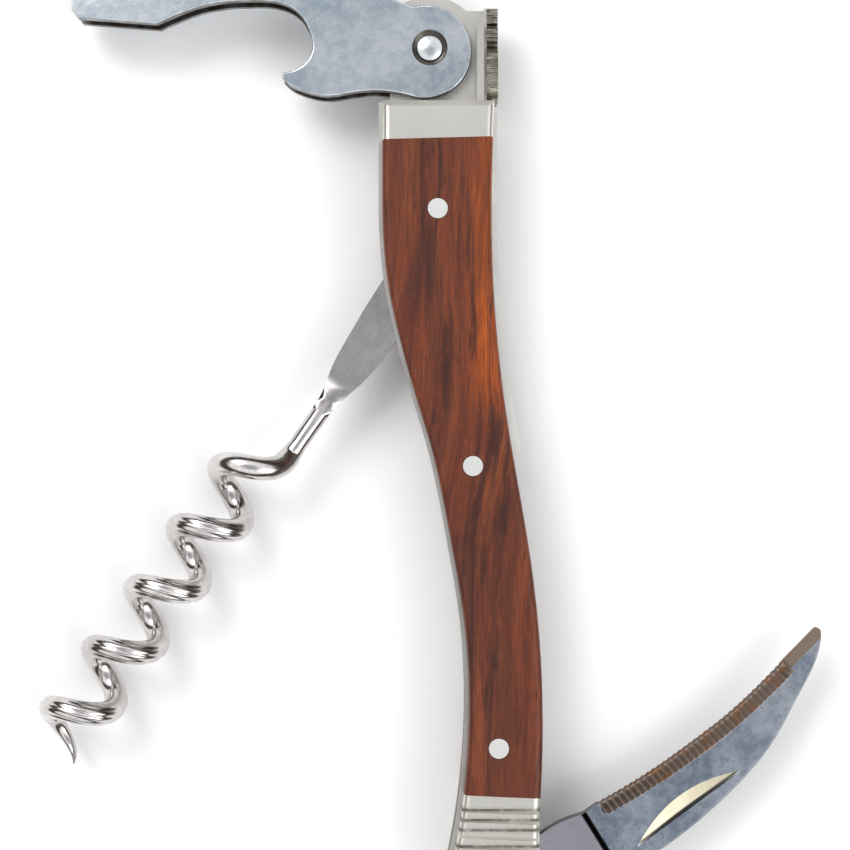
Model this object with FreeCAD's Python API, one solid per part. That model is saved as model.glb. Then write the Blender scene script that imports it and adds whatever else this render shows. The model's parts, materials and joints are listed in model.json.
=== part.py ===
import FreeCAD, Part
import math
import os

from FreeCAD import Vector

# Waiter's corkscrew lying on its rear face: X to the back of the handle, Y towards the lever,
# Z up through the thickness. The origin is the middle pin's axis on the rest plane. Every piece is
# drawn part open: lever square to the handle, worm and foil cutter swung out. Millimetres.

# Handle
HANDLE_LENGTH = 104.0      # liners, from the neck end to the butt
HANDLE_WIDTH = 14.6        # widest, at the neck end
BELOW_MIDDLE_PIN = 0.559   # share of the length between the middle pin and the butt
CORE_THICKNESS = 2.3       # back spring, neck web and centre spacer
LINER_THICKNESS = 1.0
COVER_THICKNESS = 2.2      # scales and bolsters
LINER_SHOW = 0.5           # liner standing proud of the covers along the belly
EDGE_ROUND = 0.9           # rounding of the covers' long edges
ROUND_LIMIT = 0.8          # most of a cover's thickness that its rounding takes
NECK_BEVEL = 0.8           # bevel across the neck end of the bolsters
NECK_BOLSTER_LENGTH = 4.8
BUTT_BOLSTER_LENGTH = 16.7
NECK_JOINT_TILT = 1.5      # degrees, joint between neck bolster and scale
BUTT_JOINT_TILT = -2.5     # degrees, joint between scale and butt bolster

# Handle shape: share of the length above the middle pin, middle of the width, share of the width
STATIONS = (
    (0.441, -4.55, 1.000),
    (0.317, -4.75, 0.975),
    (0.221, -4.30, 0.942),
    (0.154, -3.30, 0.874),
    (0.087, -1.95, 0.796),
    (0.019, -0.35, 0.725),
    (-0.087, 1.75, 0.699),
    (-0.192, 3.35, 0.670),
    (-0.289, 3.90, 0.667),
    (-0.385, 3.55, 0.692),
    (-0.462, 2.85, 0.759),
    (-0.510, 2.60, 0.808),
)

# Butt bolster pattern: wide pads and thin beads with grooves between them
PAD_LENGTH = 1.65
BEAD_LENGTH = 0.85
GROOVE_WIDTH = 0.40
GROOVE_DEPTH = 0.35
PATTERN_REPEATS = 3

# Pins and pivots
PIN_RADIUS = 1.25
RUNNING_FIT = 0.05         # radial clearance of everything that turns on a pin
PLAY = 0.12                # side clearance of everything that turns in the slot
WORM_PIVOT_SHARE = 0.31
WORM_PIVOT_X = -4.4
LOWER_PIN_SHARE = -0.34
LOWER_PIN_X = 3.25
CUTTER_WALL = 2.9          # cutter pivot to the back edge
CUTTER_FOOT = 3.0          # cutter pivot to the butt end
WORM_PIN_NECK = 0.90       # radius of the stepped pin inside the worm's eye
HEAD_PIN_RADIUS = 0.35
HEAD_PIN_INSET = 0.63      # from the back edge at the neck end
HEAD_PIN_DROP = 2.6        # below the neck end

# Neck and lever carrier
LEVER_PIVOT_RISE = 7.1     # above the liners' neck end
LEVER_PIVOT_INSET = 8.15   # from the back edge
WEB_RADIUS = 6.75
WEB_SIDE_INSET = 1.4       # web's belly side behind the liner's belly edge
WEB_SHOULDER = 3.0         # web's square part above the liners' neck end
WEB_DROP = 7.5             # web below the liners' neck end
LIP_INSET = 1.30           # lip's back face from the back edge
LIP_WIDTH = 0.90
LIP_HEIGHT = 10.1
COLUMN_WIDTH = 0.36
NECK_TOP = 12.0            # column above the liners' neck end
TAIL_DROP = 12.9           # tail cheeks below the liners' neck end
TAIL_INSET = 0.35

# Ribbed thumb tab on the back of the neck
TAB_THICKNESS = 1.4
TAB_LOBES = ((9.9, 12.1, 2.8), (7.6, 9.7, 3.2), (0.3, 7.4, 3.7))
TAB_WAIST = 2.2
LOBE_ROUND = 0.3           # share of a lobe's length
RIB_PITCH = 0.55
RIB_GROOVE = 0.14

# Spacers between the liners
SPACER_INSET = 0.8         # centre spacer behind the liner's belly edge
SIDE_SPACER_INSET = 1.1    # side spacers behind the liner's belly edge, clear of the folded worm
SPACER_TOP = 3.5           # above the middle pin
SPRING_BAY = 1.0           # room for the spring to give
CUTTER_BAY = 3.9           # folded cutting edge to the cutter pivot
CUTTER_BAY_DROP = 11.0     # end of the centre spacer above the cutter pivot
WORM_BAY = 1.1             # folded shank to the worm pivot

# Back spring
SPRING_DEPTH = 1.7
SPRING_ROOT_PROUD = 0.55
SPRING_TIP_PROUD = 1.25
SPRING_TOP_GAP = 0.3
SPRING_TIP_SHARE = 0.016
SPRING_POINTS = 8

# Lever: folded sheet, two cheeks over the neck web with a bridge along the top
CHEEK_THICKNESS = 1.2
CHEEK_PLAY = 0.15          # between a cheek and the neck web
SLOT_PLAY = 0.10           # between a cheek and a liner
LEVER_ROUND = 5.9
LEVER_ROUND_CENTRE = (-0.6, -0.5)
BRIDGE_START = 7.4
BRIDGE_END = 19.6
BRIDGE_DEPTH = 1.3
RIVET_RADIUS = 1.55
RIVET_DOME = 0.35
SINK_RADIUS = 2.25
SINK_DEPTH = 0.55
LEVER_EDGE_ROUND = 0.2     # outer edges of the cheeks

# Worm: leaf shank, round neck, right-hand helix and point
WORM_REST_ANGLE = 235.0
EYE_RADIUS = 4.6
LEAF_PLAY = 0.05           # leaf's faces behind the core's
NECK_SWELL = 0.05          # round neck proud of the leaf's faces
TAPER_LAP = 0.8            # tapered end's root inside the full wire
TAPER_STEP = 0.02
WORM_AXIS_OFFSET = -0.95
HELIX_RADIUS = 3.3
WIRE_RADIUS = 1.5
PITCH = 9.45
HELIX_CREST = 47.3         # distance from the pivot to a crest on the handle side
HELIX_START = 35.5
TAPER_START = 80.0
WORM_LENGTH = 84.6
POINT_RADIUS = 0.12
TAPER_BOW = 0.8            # below 1 the taper bulges
SECTIONS_PER_TURN = 14
TAPER_SECTIONS = 8
COLLAR_LENGTH = 0.8
NECK_START = 27.5

# Foil cutter
CUTTER_REST_ANGLE = 41.4
BLADE_PLAY = 0.15          # blade's faces behind the core's
TANG_RADIUS = 2.7
WASHER_RADIUS = 2.6
TEETH = 36
TOOTH_PITCH = 0.815
TEETH_START = 16.2
TOOTH_RADIUS = 0.62
GRIND_WIDTH = 1.7
TOOTH_RUNOUT = 0.15        # grooves leave the edge this far behind the rear face
TOOL_LEAD = 2.0
TOOL_LENGTH = 8.0
NICK_LENGTH = 16.4
NICK_WIDTH = 2.1
NICK_DEPTH = 0.6
NICK_START = (15.9, -5.4)
NICK_SLOPE = -5.0
CUTTER_TIP = 8.0
TIP_GRIND = 1.4
TIP_FACE = 0.1
TIP_TURN = 4.3
SHOULDER_TOP = (13.6, 2.4)
SHOULDER_FOOT = (12.1, -6.6)
SHOULDER_GROOVE = 0.55
SPINE_BEVEL = 0.22
SPINE_BEVEL_FROM = 30.0     # only the long edges of the spine are bevelled

TOUCH = 0.01               # edges and points nearer than this count as one

# Layers, as distances from the middle plane
CORE = CORE_THICKNESS / 2
CHEEK_IN = CORE + CHEEK_PLAY
CHEEK_OUT = CHEEK_IN + CHEEK_THICKNESS
SLOT = CHEEK_OUT + SLOT_PLAY
LINER_FACE = SLOT + LINER_THICKNESS
COVER_FACE = LINER_FACE + COVER_THICKNESS
MIDDLE = COVER_FACE
LEAF = CORE - LEAF_PLAY
BLADE = CORE - BLADE_PLAY

TOP = (1 - BELOW_MIDDLE_PIN) * HANDLE_LENGTH
BUTT = -BELOW_MIDDLE_PIN * HANDLE_LENGTH


# ---------------------------------------------------------------- small tools

def curve(points):
    """Smooth curve through points in the drawing plane."""
    spline = Part.BSplineCurve()
    spline.interpolate([Vector(x, y, 0) for x, y in points])
    return spline


def line(start, end):
    return Part.LineSegment(Vector(*start, 0), Vector(*end, 0))


def polygon(points):
    return Part.Wire(Part.makePolygon([Vector(x, y, 0) for x, y in points + points[:1]]))


def closed(parts):
    """One closed wire from curves drawn in order."""
    return Part.Wire([part.toShape() for part in parts])


def circle(centre, radius):
    return Part.Wire(Part.Circle(Vector(centre.x, centre.y, 0), Vector(0, 0, 1), radius).toShape())


def layer(wire, low, high):
    """Plate between two distances from the middle plane, negative ones behind it."""
    plate = Part.Face(wire).extrude(Vector(0, 0, high - low))
    plate.translate(Vector(0, 0, MIDDLE + low))
    return plate


def behind(shape):
    """Copy of a front piece on the rear side."""
    return shape.mirror(Vector(0, 0, MIDDLE), Vector(0, 0, 1))


def rod(centre, radius, low, high):
    base = Vector(centre.x, centre.y, MIDDLE + low)
    return Part.makeCylinder(radius, high - low, base, Vector(0, 0, 1))


def block(x_low, x_high, y_low, y_high, low, high):
    corner = Vector(x_low, y_low, MIDDLE + low)
    return Part.makeBox(x_high - x_low, y_high - y_low, high - low, corner)


def placed(shape, pivot, degrees):
    """Piece drawn about its own pivot in the plane Z = 0, put into the handle."""
    turned = shape.copy()
    turned.rotate(Vector(0, 0, 0), Vector(0, 0, 1), degrees)
    turned.translate(Vector(pivot.x, pivot.y, MIDDLE))
    return turned


def x_at(edge, y):
    """X where an edge that runs down the handle crosses the height y."""
    low = edge.FirstParameter
    high = edge.LastParameter
    for _ in range(40):
        middle = (low + high) / 2
        if edge.value(middle).y > y:
            low = middle
        else:
            high = middle
    return edge.value(low).x


def write(name, shape):
    shape = shape.removeSplitter()
    assert shape.isValid(), name
    shape.exportStep("parts/" + name + ".step")
    print(name, len(shape.Solids), round(shape.Volume, 2))


# ---------------------------------------------------------------- handle outline

def station_points(side, inset):
    points = []
    for share, centre, width in STATIONS:
        reach = width * HANDLE_WIDTH / 2 - inset
        points.append((centre + side * reach, share * HANDLE_LENGTH))
    return points


def handle_edge(side, inset):
    return curve(station_points(side, inset))


def handle_outline(belly_inset, back_inset):
    """Closed outline: one smooth run down the belly, round the butt and up the back."""
    belly = station_points(-1, belly_inset)
    back = station_points(1, back_inset)
    half = (back[-1][0] - belly[-1][0]) / 2
    middle = belly[-1][0] + half
    shoulder = belly[-1][1]
    drop = shoulder - BUTT - belly_inset
    butt = []
    for degrees in range(205, 340, 26):
        turn = math.radians(degrees)
        butt.append((middle + half * math.cos(turn), shoulder + drop * math.sin(turn)))
    run = curve(belly + butt + back[::-1])
    first = run.parameter(Vector(*belly[-1], 0))
    second = run.parameter(Vector(*back[-1], 0))
    pieces = []
    for start, end in ((run.FirstParameter, first), (first, second), (second, run.LastParameter)):
        piece = run.copy()
        piece.segment(start, end)
        pieces.append(piece)
    return closed(pieces + [line(back[0], belly[0])])


BACK = handle_edge(1, 0)
BELLY = handle_edge(-1, 0)
BACK_TOP = x_at(BACK, TOP)
BACK_BUTT = BACK.EndPoint.x

MIDDLE_PIN = Vector(0, 0, 0)
WORM_PIVOT = Vector(WORM_PIVOT_X, WORM_PIVOT_SHARE * HANDLE_LENGTH, 0)
LOWER_PIN = Vector(LOWER_PIN_X, LOWER_PIN_SHARE * HANDLE_LENGTH, 0)
CUTTER_PIVOT = Vector(BACK_BUTT - CUTTER_WALL, BUTT + CUTTER_FOOT, 0)
LEVER_PIVOT = Vector(BACK_TOP - LEVER_PIVOT_INSET, TOP + LEVER_PIVOT_RISE, 0)
HEAD_PIN = Vector(BACK_TOP - HEAD_PIN_INSET, TOP - HEAD_PIN_DROP, 0)


def pin_holes(shape, low, high):
    """Holes for the three pins that cross the handle, the cutter pin and the head pin."""
    for centre in (MIDDLE_PIN, LOWER_PIN, CUTTER_PIVOT, WORM_PIVOT):
        shape = shape.cut(rod(centre, PIN_RADIUS, low, high))
    return shape


def tilted_half(y, degrees, above):
    """Half plane prism above or below a joint line that crosses the handle."""
    span = HANDLE_LENGTH
    near = block(-span, span, y, y + span, SLOT, COVER_FACE + COVER_THICKNESS)
    if not above:
        near = block(-span, span, y - span, y, SLOT, COVER_FACE + COVER_THICKNESS)
    centre = Vector((BACK_TOP + BELLY.StartPoint.x) / 2 if y > 0 else BACK_BUTT / 2, y, 0)
    near.rotate(centre, Vector(0, 0, 1), degrees)
    return near


# ---------------------------------------------------------------- handle pieces

def liner():
    plate = layer(handle_outline(0, 0), SLOT, LINER_FACE)
    lip_back = BACK_TOP - LIP_INSET
    lip = block(lip_back - LIP_WIDTH, lip_back, TOP - 1, TOP + LIP_HEIGHT, SLOT, LINER_FACE)
    plate = plate.fuse(lip)
    plate = plate.cut(rod(HEAD_PIN, HEAD_PIN_RADIUS, SLOT, LINER_FACE))
    return pin_holes(plate, SLOT, LINER_FACE)


NECK_JOINT = TOP - NECK_BOLSTER_LENGTH
BUTT_JOINT = BUTT + BUTT_BOLSTER_LENGTH


def cover():
    """Scale and bolsters in one before it is cut at the joints: long edges rounded, neck end bevelled."""
    plate = layer(handle_outline(LINER_SHOW, 0), LINER_FACE, COVER_FACE)
    face = MIDDLE + COVER_FACE - TOUCH
    long_edges = [e for e in plate.Edges if e.BoundBox.ZMin > face and e.BoundBox.YMin < NECK_JOINT]
    plate = plate.makeFillet(min(EDGE_ROUND, COVER_THICKNESS * ROUND_LIMIT), long_edges)
    bevel = block(-HANDLE_WIDTH, HANDLE_WIDTH, TOP - NECK_BEVEL, TOP + HANDLE_WIDTH,
                  COVER_FACE, COVER_FACE + HANDLE_WIDTH)
    bevel.rotate(Vector(0, TOP - NECK_BEVEL, MIDDLE + COVER_FACE), Vector(1, 0, 0), -45)
    return plate.cut(bevel)


def scale(blank):
    piece = blank.common(tilted_half(NECK_JOINT, NECK_JOINT_TILT, False))
    piece = piece.common(tilted_half(BUTT_JOINT, BUTT_JOINT_TILT, True))
    return pin_holes(piece, LINER_FACE, COVER_FACE)


def neck_bolster(blank):
    piece = blank.common(tilted_half(NECK_JOINT, NECK_JOINT_TILT, True))
    blind = (LINER_FACE + COVER_FACE) / 2
    return piece.cut(rod(HEAD_PIN, HEAD_PIN_RADIUS, LINER_FACE, blind))


def butt_bolster(blank):
    piece = blank.common(tilted_half(BUTT_JOINT, BUTT_JOINT_TILT, False))
    pitch = PAD_LENGTH + BEAD_LENGTH + 2 * GROOVE_WIDTH
    for repeat in range(PATTERN_REPEATS):
        pad_end = BUTT_JOINT - repeat * pitch - PAD_LENGTH
        for y in (pad_end, pad_end - GROOVE_WIDTH - BEAD_LENGTH):
            groove = block(-HANDLE_WIDTH, 2 * HANDLE_WIDTH, y - GROOVE_WIDTH, y,
                           COVER_FACE - GROOVE_DEPTH, COVER_FACE + COVER_THICKNESS)
            groove.rotate(Vector(BACK_BUTT / 2, BUTT_JOINT, 0), Vector(0, 0, 1), BUTT_JOINT_TILT)
            piece = piece.cut(groove)
    return pin_holes(piece, LINER_FACE, COVER_FACE)


# ---------------------------------------------------------------- inside the handle

def centre_spacer():
    """Belly side of the core layer, clear of the folded cutter and of the folded worm."""
    plate = layer(handle_outline(SPACER_INSET, 0), -CORE, CORE)
    low = CUTTER_PIVOT.y + CUTTER_BAY_DROP
    top = x_at(BACK, 0) - SPRING_DEPTH - SPRING_BAY
    slot = CUTTER_PIVOT.x - CUTTER_BAY
    worm_side = WORM_PIVOT.x + WORM_BAY
    keep = polygon([
        (worm_side, SPACER_TOP), (top, SPACER_TOP), (top, -PIN_RADIUS),
        (slot, LOWER_PIN.y + 2 * PIN_RADIUS), (slot, LOWER_PIN.y - 4 * PIN_RADIUS),
        (slot - PIN_RADIUS, low), (-HANDLE_WIDTH, low), (-HANDLE_WIDTH, -2 * SPACER_TOP),
        (worm_side, -2 * SPACER_TOP)])
    piece = plate.common(layer(keep, -CORE, CORE))
    for centre in (MIDDLE_PIN, LOWER_PIN):
        piece = piece.cut(rod(centre, PIN_RADIUS, -CORE, CORE))
    return piece


def side_spacer():
    """Strip along the back, full width below the middle pin, beside the spring and the cutter."""
    plate = layer(handle_outline(SIDE_SPACER_INSET, SPACER_INSET / 2), CORE, SLOT)
    strip = TOP - TAIL_DROP
    inner = BACK_TOP - LIP_INSET - LIP_WIDTH
    low = CUTTER_PIVOT.y + WASHER_RADIUS + PIN_RADIUS
    keep = polygon([
        (inner, strip - PLAY), (HANDLE_WIDTH, strip - PLAY), (HANDLE_WIDTH, low),
        (-HANDLE_WIDTH, low), (-HANDLE_WIDTH, SPACER_TOP), (inner, 2 * SPACER_TOP)])
    piece = plate.common(layer(keep, CORE, SLOT))
    for centre in (MIDDLE_PIN, LOWER_PIN):
        piece = piece.cut(rod(centre, PIN_RADIUS, CORE, SLOT))
    return piece


def spring_outer(y, root, tip):
    share = (root - y) / (root - tip)
    proud = SPRING_ROOT_PROUD + share * (SPRING_TIP_PROUD - SPRING_ROOT_PROUD)
    return x_at(BACK, y) + proud


def back_spring():
    root = TOP - SPRING_TOP_GAP
    tip = SPRING_TIP_SHARE * HANDLE_LENGTH
    step = (root - tip) / (SPRING_POINTS - 1)
    outer = []
    for index in range(SPRING_POINTS):
        y = root - index * step
        outer.append((spring_outer(y, root, tip), y))
    inner = [(x - SPRING_DEPTH, y) for x, y in outer]
    wire = closed([curve(outer), line(outer[-1], inner[-1]), curve(inner[::-1]),
                   line(inner[0], outer[0])])
    leaf = layer(wire, -CORE, CORE)
    return leaf.cut(rod(HEAD_PIN, HEAD_PIN_RADIUS + RUNNING_FIT, -CORE, CORE))


def head_block():
    """Neck web that carries the lever, column behind it and cheeks down beside the spring."""
    column_back = BACK_TOP - LIP_INSET + COLUMN_WIDTH
    spring_in = x_at(BACK, TOP - WEB_DROP) + SPRING_ROOT_PROUD - SPRING_DEPTH
    web = layer(circle(LEVER_PIVOT, WEB_RADIUS), -CORE, CORE)
    web = web.fuse(block(LEVER_PIVOT.x, column_back, TOP, TOP + NECK_TOP, -CORE, CORE))
    belly = x_at(BELLY, TOP) + WEB_SIDE_INSET
    web = web.fuse(block(belly, spring_in - 2 * PLAY, TOP - WEB_DROP, TOP + WEB_SHOULDER, -CORE, CORE))
    column = block(column_back - COLUMN_WIDTH, column_back, TOP, TOP + NECK_TOP, -SLOT, SLOT)
    web = web.fuse(column)
    cheek_in = spring_in - PLAY
    cheek_out = BACK_TOP - TAIL_INSET
    foot = TOP - TAIL_DROP
    cheek = block(cheek_in, cheek_out, foot, TOP + TAB_LOBES[-1][0], CORE + PLAY, SLOT)
    web = web.fuse([cheek, behind(cheek)])
    web = web.cut(rod(LEVER_PIVOT, RIVET_RADIUS, -CORE, CORE))
    return web.cut(rod(HEAD_PIN, HEAD_PIN_RADIUS, -SLOT, SLOT))


def thumb_tab():
    """Plate with three lobes, finely ribbed on its two sides."""
    low = BACK_TOP - LIP_INSET + COLUMN_WIDTH
    high = low + TAB_THICKNESS
    foot = TOP + TAB_LOBES[-1][0]
    crown = TOP + TAB_LOBES[0][1]
    plate = block(low, high, foot, crown, -TAB_WAIST, TAB_WAIST)
    for start, end, reach in TAB_LOBES:
        lobe = block(low, high, TOP + start, TOP + end, -reach, reach)
        corners = [e for e in lobe.Edges if e.BoundBox.XLength > TAB_THICKNESS / 2]
        plate = plate.fuse(lobe.makeFillet((end - start) * LOBE_ROUND, corners))
    grooves = []
    for start, end, reach in TAB_LOBES:
        count = int((end - start - 2 * RIB_PITCH) / RIB_PITCH)
        first = (start + end - (count - 1) * RIB_PITCH) / 2
        for index in range(count):
            for side in (-reach, reach):
                base = Vector(low, TOP + first + index * RIB_PITCH, MIDDLE + side)
                grooves.append(Part.makeCylinder(RIB_GROOVE, TAB_THICKNESS, base, Vector(1, 0, 0)))
    return plate.cut(grooves)


# ---------------------------------------------------------------- lever

def lever_outline():
    """Lever seen from the front, about its pivot, pointing along -X."""
    cx, cy = LEVER_ROUND_CENTRE
    top_touch = (cx + LEVER_ROUND * math.cos(math.radians(105)),
                 cy + LEVER_ROUND * math.sin(math.radians(105)))
    low_touch = (cx + LEVER_ROUND * math.cos(math.radians(258)),
                 cy + LEVER_ROUND * math.sin(math.radians(258)))
    far_side = (cx + LEVER_ROUND, cy)
    end = Part.Arc(Vector(*top_touch, 0), Vector(*far_side, 0), Vector(*low_touch, 0))
    hook_low = curve([low_touch, (-4.2, -5.7), (-7.0, -5.45), (-10.0, -5.75), (-13.0, -6.15),
                      (-15.9, -5.6), (-17.8, -4.7), (-18.7, -3.8)])
    throat = curve([(-18.65, -3.15), (-16.9, -2.7), (-15.5, -1.6), (-14.85, 0.1), (-15.2, 2.0),
                    (-16.2, 3.9), (-18.0, 5.3), (-20.6, 5.9), (-24.2, 5.9), (-28.0, 5.45),
                    (-31.5, 4.35), (-34.6, 3.0)])
    top = curve([(-45.4, 10.0), (-30.0, 10.1), (-18.5, 9.9), (-12.6, 9.0), (-7.0, 7.1), top_touch])
    return closed([
        end, hook_low, line((-18.7, -3.8), (-18.65, -3.15)), throat,
        line((-34.6, 3.0), (-44.6, 3.75)), line((-44.6, 3.75), (-45.4, 4.8)),
        line((-45.4, 4.8), (-45.4, 10.0)), top])


def lever():
    outline = lever_outline()
    cheek = Part.Face(outline).extrude(Vector(0, 0, CHEEK_THICKNESS))
    cheek.translate(Vector(0, 0, CHEEK_IN))
    outer = [e for e in cheek.Edges if e.BoundBox.ZMin > CHEEK_OUT - TOUCH]
    cheek = cheek.makeFillet(LEVER_EDGE_ROUND, outer)
    sink = Part.makeCone(RIVET_RADIUS + RUNNING_FIT, SINK_RADIUS, SINK_DEPTH,
                         Vector(0, 0, CHEEK_OUT - SINK_DEPTH))
    hole = Part.makeCylinder(RIVET_RADIUS + RUNNING_FIT, CHEEK_THICKNESS, Vector(0, 0, CHEEK_IN))
    cheek = cheek.cut([sink, hole])
    gap = 2 * CHEEK_IN
    solid = Part.Face(outline).extrude(Vector(0, 0, gap))
    solid.translate(Vector(0, 0, -CHEEK_IN))
    lower = Part.Face(outline).extrude(Vector(0, 0, gap))
    lower.translate(Vector(0, -BRIDGE_DEPTH, -CHEEK_IN))
    window = Part.makeBox(BRIDGE_END - BRIDGE_START, LEVER_ROUND, gap,
                          Vector(-BRIDGE_END, LEVER_ROUND, -CHEEK_IN))
    bridge = solid.cut(lower).common(window)
    return cheek.fuse([cheek.mirror(Vector(0, 0, 0), Vector(0, 0, 1)), bridge])


def lever_rivet():
    reach = CHEEK_OUT - RIVET_DOME
    shank = Part.makeCylinder(RIVET_RADIUS, 2 * reach, Vector(0, 0, -reach))
    ball = (RIVET_RADIUS ** 2 + RIVET_DOME ** 2) / (2 * RIVET_DOME)
    cap = Part.makeSphere(ball, Vector(0, 0, reach + RIVET_DOME - ball))
    cap = cap.common(Part.makeCylinder(RIVET_RADIUS, RIVET_DOME, Vector(0, 0, reach)))
    return shank.fuse([cap, cap.mirror(Vector(0, 0, 0), Vector(0, 0, 1))])


# ---------------------------------------------------------------- worm

def helix_turn(u):
    """Angle about the worm's axis at the distance u from the pivot."""
    rise = 2 * math.pi / PITCH
    full = 2 * (HELIX_CREST - PITCH) - HELIX_START
    if u <= HELIX_START:
        return -2 * math.pi
    if u < full:
        return -2 * math.pi + rise * (u - HELIX_START) ** 2 / (2 * (full - HELIX_START))
    return rise * (u - HELIX_CREST)


def helix_point(u):
    turn = helix_turn(u)
    return Vector(u, WORM_AXIS_OFFSET + HELIX_RADIUS * math.cos(turn),
                  HELIX_RADIUS * math.sin(turn))


def taper_section(u):
    """Round section across the tapered end of the wire."""
    share = min(1, (WORM_LENGTH - u) / (WORM_LENGTH - TAPER_START))
    root = WIRE_RADIUS - TAPER_STEP
    radius = POINT_RADIUS + (root - POINT_RADIUS) * share ** TAPER_BOW
    along = helix_point(u + TOUCH) - helix_point(u - TOUCH)
    return Part.Wire(Part.Circle(helix_point(u), along, radius).toShape())


def helix():
    """Full wire swept along the helix, with a tapered end lapped into it."""
    steps = int((TAPER_START - HELIX_START) / PITCH * SECTIONS_PER_TURN)
    pace = (TAPER_START - HELIX_START) / steps
    path = Part.BSplineCurve()
    path.interpolate([helix_point(HELIX_START + index * pace) for index in range(steps + 1)])
    ring = Part.Circle(helix_point(HELIX_START), Vector(1, 0, 0), WIRE_RADIUS)
    wire = Part.Wire(path.toShape()).makePipeShell([Part.Wire(ring.toShape())], True, True)
    root = TAPER_START - TAPER_LAP
    pace = (WORM_LENGTH - root) / TAPER_SECTIONS
    rings = [taper_section(root + index * pace) for index in range(TAPER_SECTIONS + 1)]
    return wire.fuse(Part.makeLoft(rings, True, False))


def leaf():
    """Flat shank that widens from the eye and narrows to the round neck."""
    neck = HELIX_RADIUS + WORM_AXIS_OFFSET
    round_neck = LEAF + NECK_SWELL
    upper = curve([(0.5, 4.3), (10.0, 4.9), (16.3, 5.1), (20.0, 5.0), (24.0, 4.45), (27.0, 3.7),
                   (29.5, neck + LEAF)])
    lower = curve([(29.5, neck - LEAF), (27.0, 1.05), (24.0, 0.3), (20.0, -0.2),
                   (15.0, -0.6), (10.0, -0.8), (0.5, -1.5)])
    wire = closed([upper, line((29.5, neck + LEAF), (29.5, neck - LEAF)), lower,
                   line((0.5, -1.5), (0.5, 4.3))])
    plate = Part.Face(wire).extrude(Vector(0, 0, 2 * LEAF))
    plate.translate(Vector(0, 0, -LEAF))
    eye = Part.makeCylinder(EYE_RADIUS, 2 * LEAF, Vector(0, 0, -LEAF))
    shank = Part.makeCylinder(round_neck, HELIX_START - NECK_START, Vector(NECK_START, neck, 0),
                              Vector(1, 0, 0))
    collar = Part.makeCone(round_neck, WIRE_RADIUS - TAPER_STEP, COLLAR_LENGTH,
                           Vector(HELIX_START - COLLAR_LENGTH + TAPER_STEP, neck, 0), Vector(1, 0, 0))
    bore = Part.makeCylinder(WORM_PIN_NECK + RUNNING_FIT, 2 * LEAF, Vector(0, 0, -LEAF))
    return plate.fuse([eye, shank, collar]).cut(bore)


def worm():
    return leaf().fuse(helix())


def worm_pin():
    """Stepped pin: full size through the front half, thin through the eye and the sleeve."""
    shoulder = LEAF + PLAY
    return rod(WORM_PIVOT, PIN_RADIUS, shoulder, COVER_FACE).fuse(
        rod(WORM_PIVOT, WORM_PIN_NECK, -COVER_FACE, shoulder))


def worm_pin_sleeve():
    shoulder = LEAF + PLAY
    tube = rod(WORM_PIVOT, PIN_RADIUS, -COVER_FACE, -shoulder)
    return tube.cut(rod(WORM_PIVOT, WORM_PIN_NECK, -COVER_FACE, -shoulder))


# ---------------------------------------------------------------- foil cutter

EDGE_POINTS = ((16.0, 2.0), (20.0, 1.1), (25.0, 0.3), (30.0, -0.2), (35.0, -0.55), (40.0, -0.5),
               (46.0, -0.05))


def cutter_outline():
    """Blade about its pivot, pointing along +X with the cutting edge on the +Y side."""
    tang_top = curve([(13.4, 2.3), (7.0, 4.0), (3.5, 3.75), (0.0, TANG_RADIUS)])
    end = Part.Arc(Vector(0, TANG_RADIUS, 0), Vector(-TANG_RADIUS, 0, 0), Vector(0, -TANG_RADIUS, 0))
    spine = curve([(0.0, -TANG_RADIUS), (6.0, -4.7), (12.0, -6.5), (17.5, -7.6), (25.0, -8.1),
                   (32.0, -7.8), (38.0, -6.7), (44.0, -4.5), (50.0, -1.8), (51.5, -0.5)])
    tip = Part.Arc(Vector(51.5, -0.5, 0), Vector(51.75, 0.05, 0), Vector(51.3, 0.35, 0))
    edge = curve(EDGE_POINTS[::-1])
    return closed([tang_top, end, spine, tip, line((51.3, 0.35), EDGE_POINTS[-1]), edge,
                   line(EDGE_POINTS[0], (13.4, 2.3))])


def tooth_cutters():
    """Round grooves ground slanting across the cutting edge, from the front face."""
    edge = curve(EDGE_POINTS)
    slope = math.atan2(2 * BLADE + TOOTH_RUNOUT, GRIND_WIDTH)
    tools = []
    for index in range(TEETH):
        u = TEETH_START + index * TOOTH_PITCH
        v = edge.value(edge.parameter(Vector(u, 0, 0))).y
        axis = Vector(0, -math.cos(slope), math.sin(slope))
        lift = Vector(0, math.sin(slope), math.cos(slope)) * TOOTH_RADIUS
        start = Vector(u, v, -BLADE - TOOTH_RUNOUT) + lift - axis * TOOL_LEAD
        tools.append(Part.makeCylinder(TOOTH_RADIUS, TOOL_LENGTH, start, axis))
    return tools


def tip_bevel():
    """Plain ground edge between the last tooth and the point."""
    start = TEETH_START + TEETH * TOOTH_PITCH
    slope = math.degrees(math.atan2(2 * BLADE, TIP_GRIND))
    wedge = Part.makeBox(CUTTER_TIP, CUTTER_TIP, CUTTER_TIP, Vector(start, 0, 0))
    wedge.rotate(Vector(start, 0, 0), Vector(1, 0, 0), -slope)
    wedge.rotate(Vector(start, 0, 0), Vector(0, 0, 1), TIP_TURN)
    wedge.translate(Vector(0, TIP_FACE - TIP_GRIND, BLADE))
    return wedge


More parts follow.
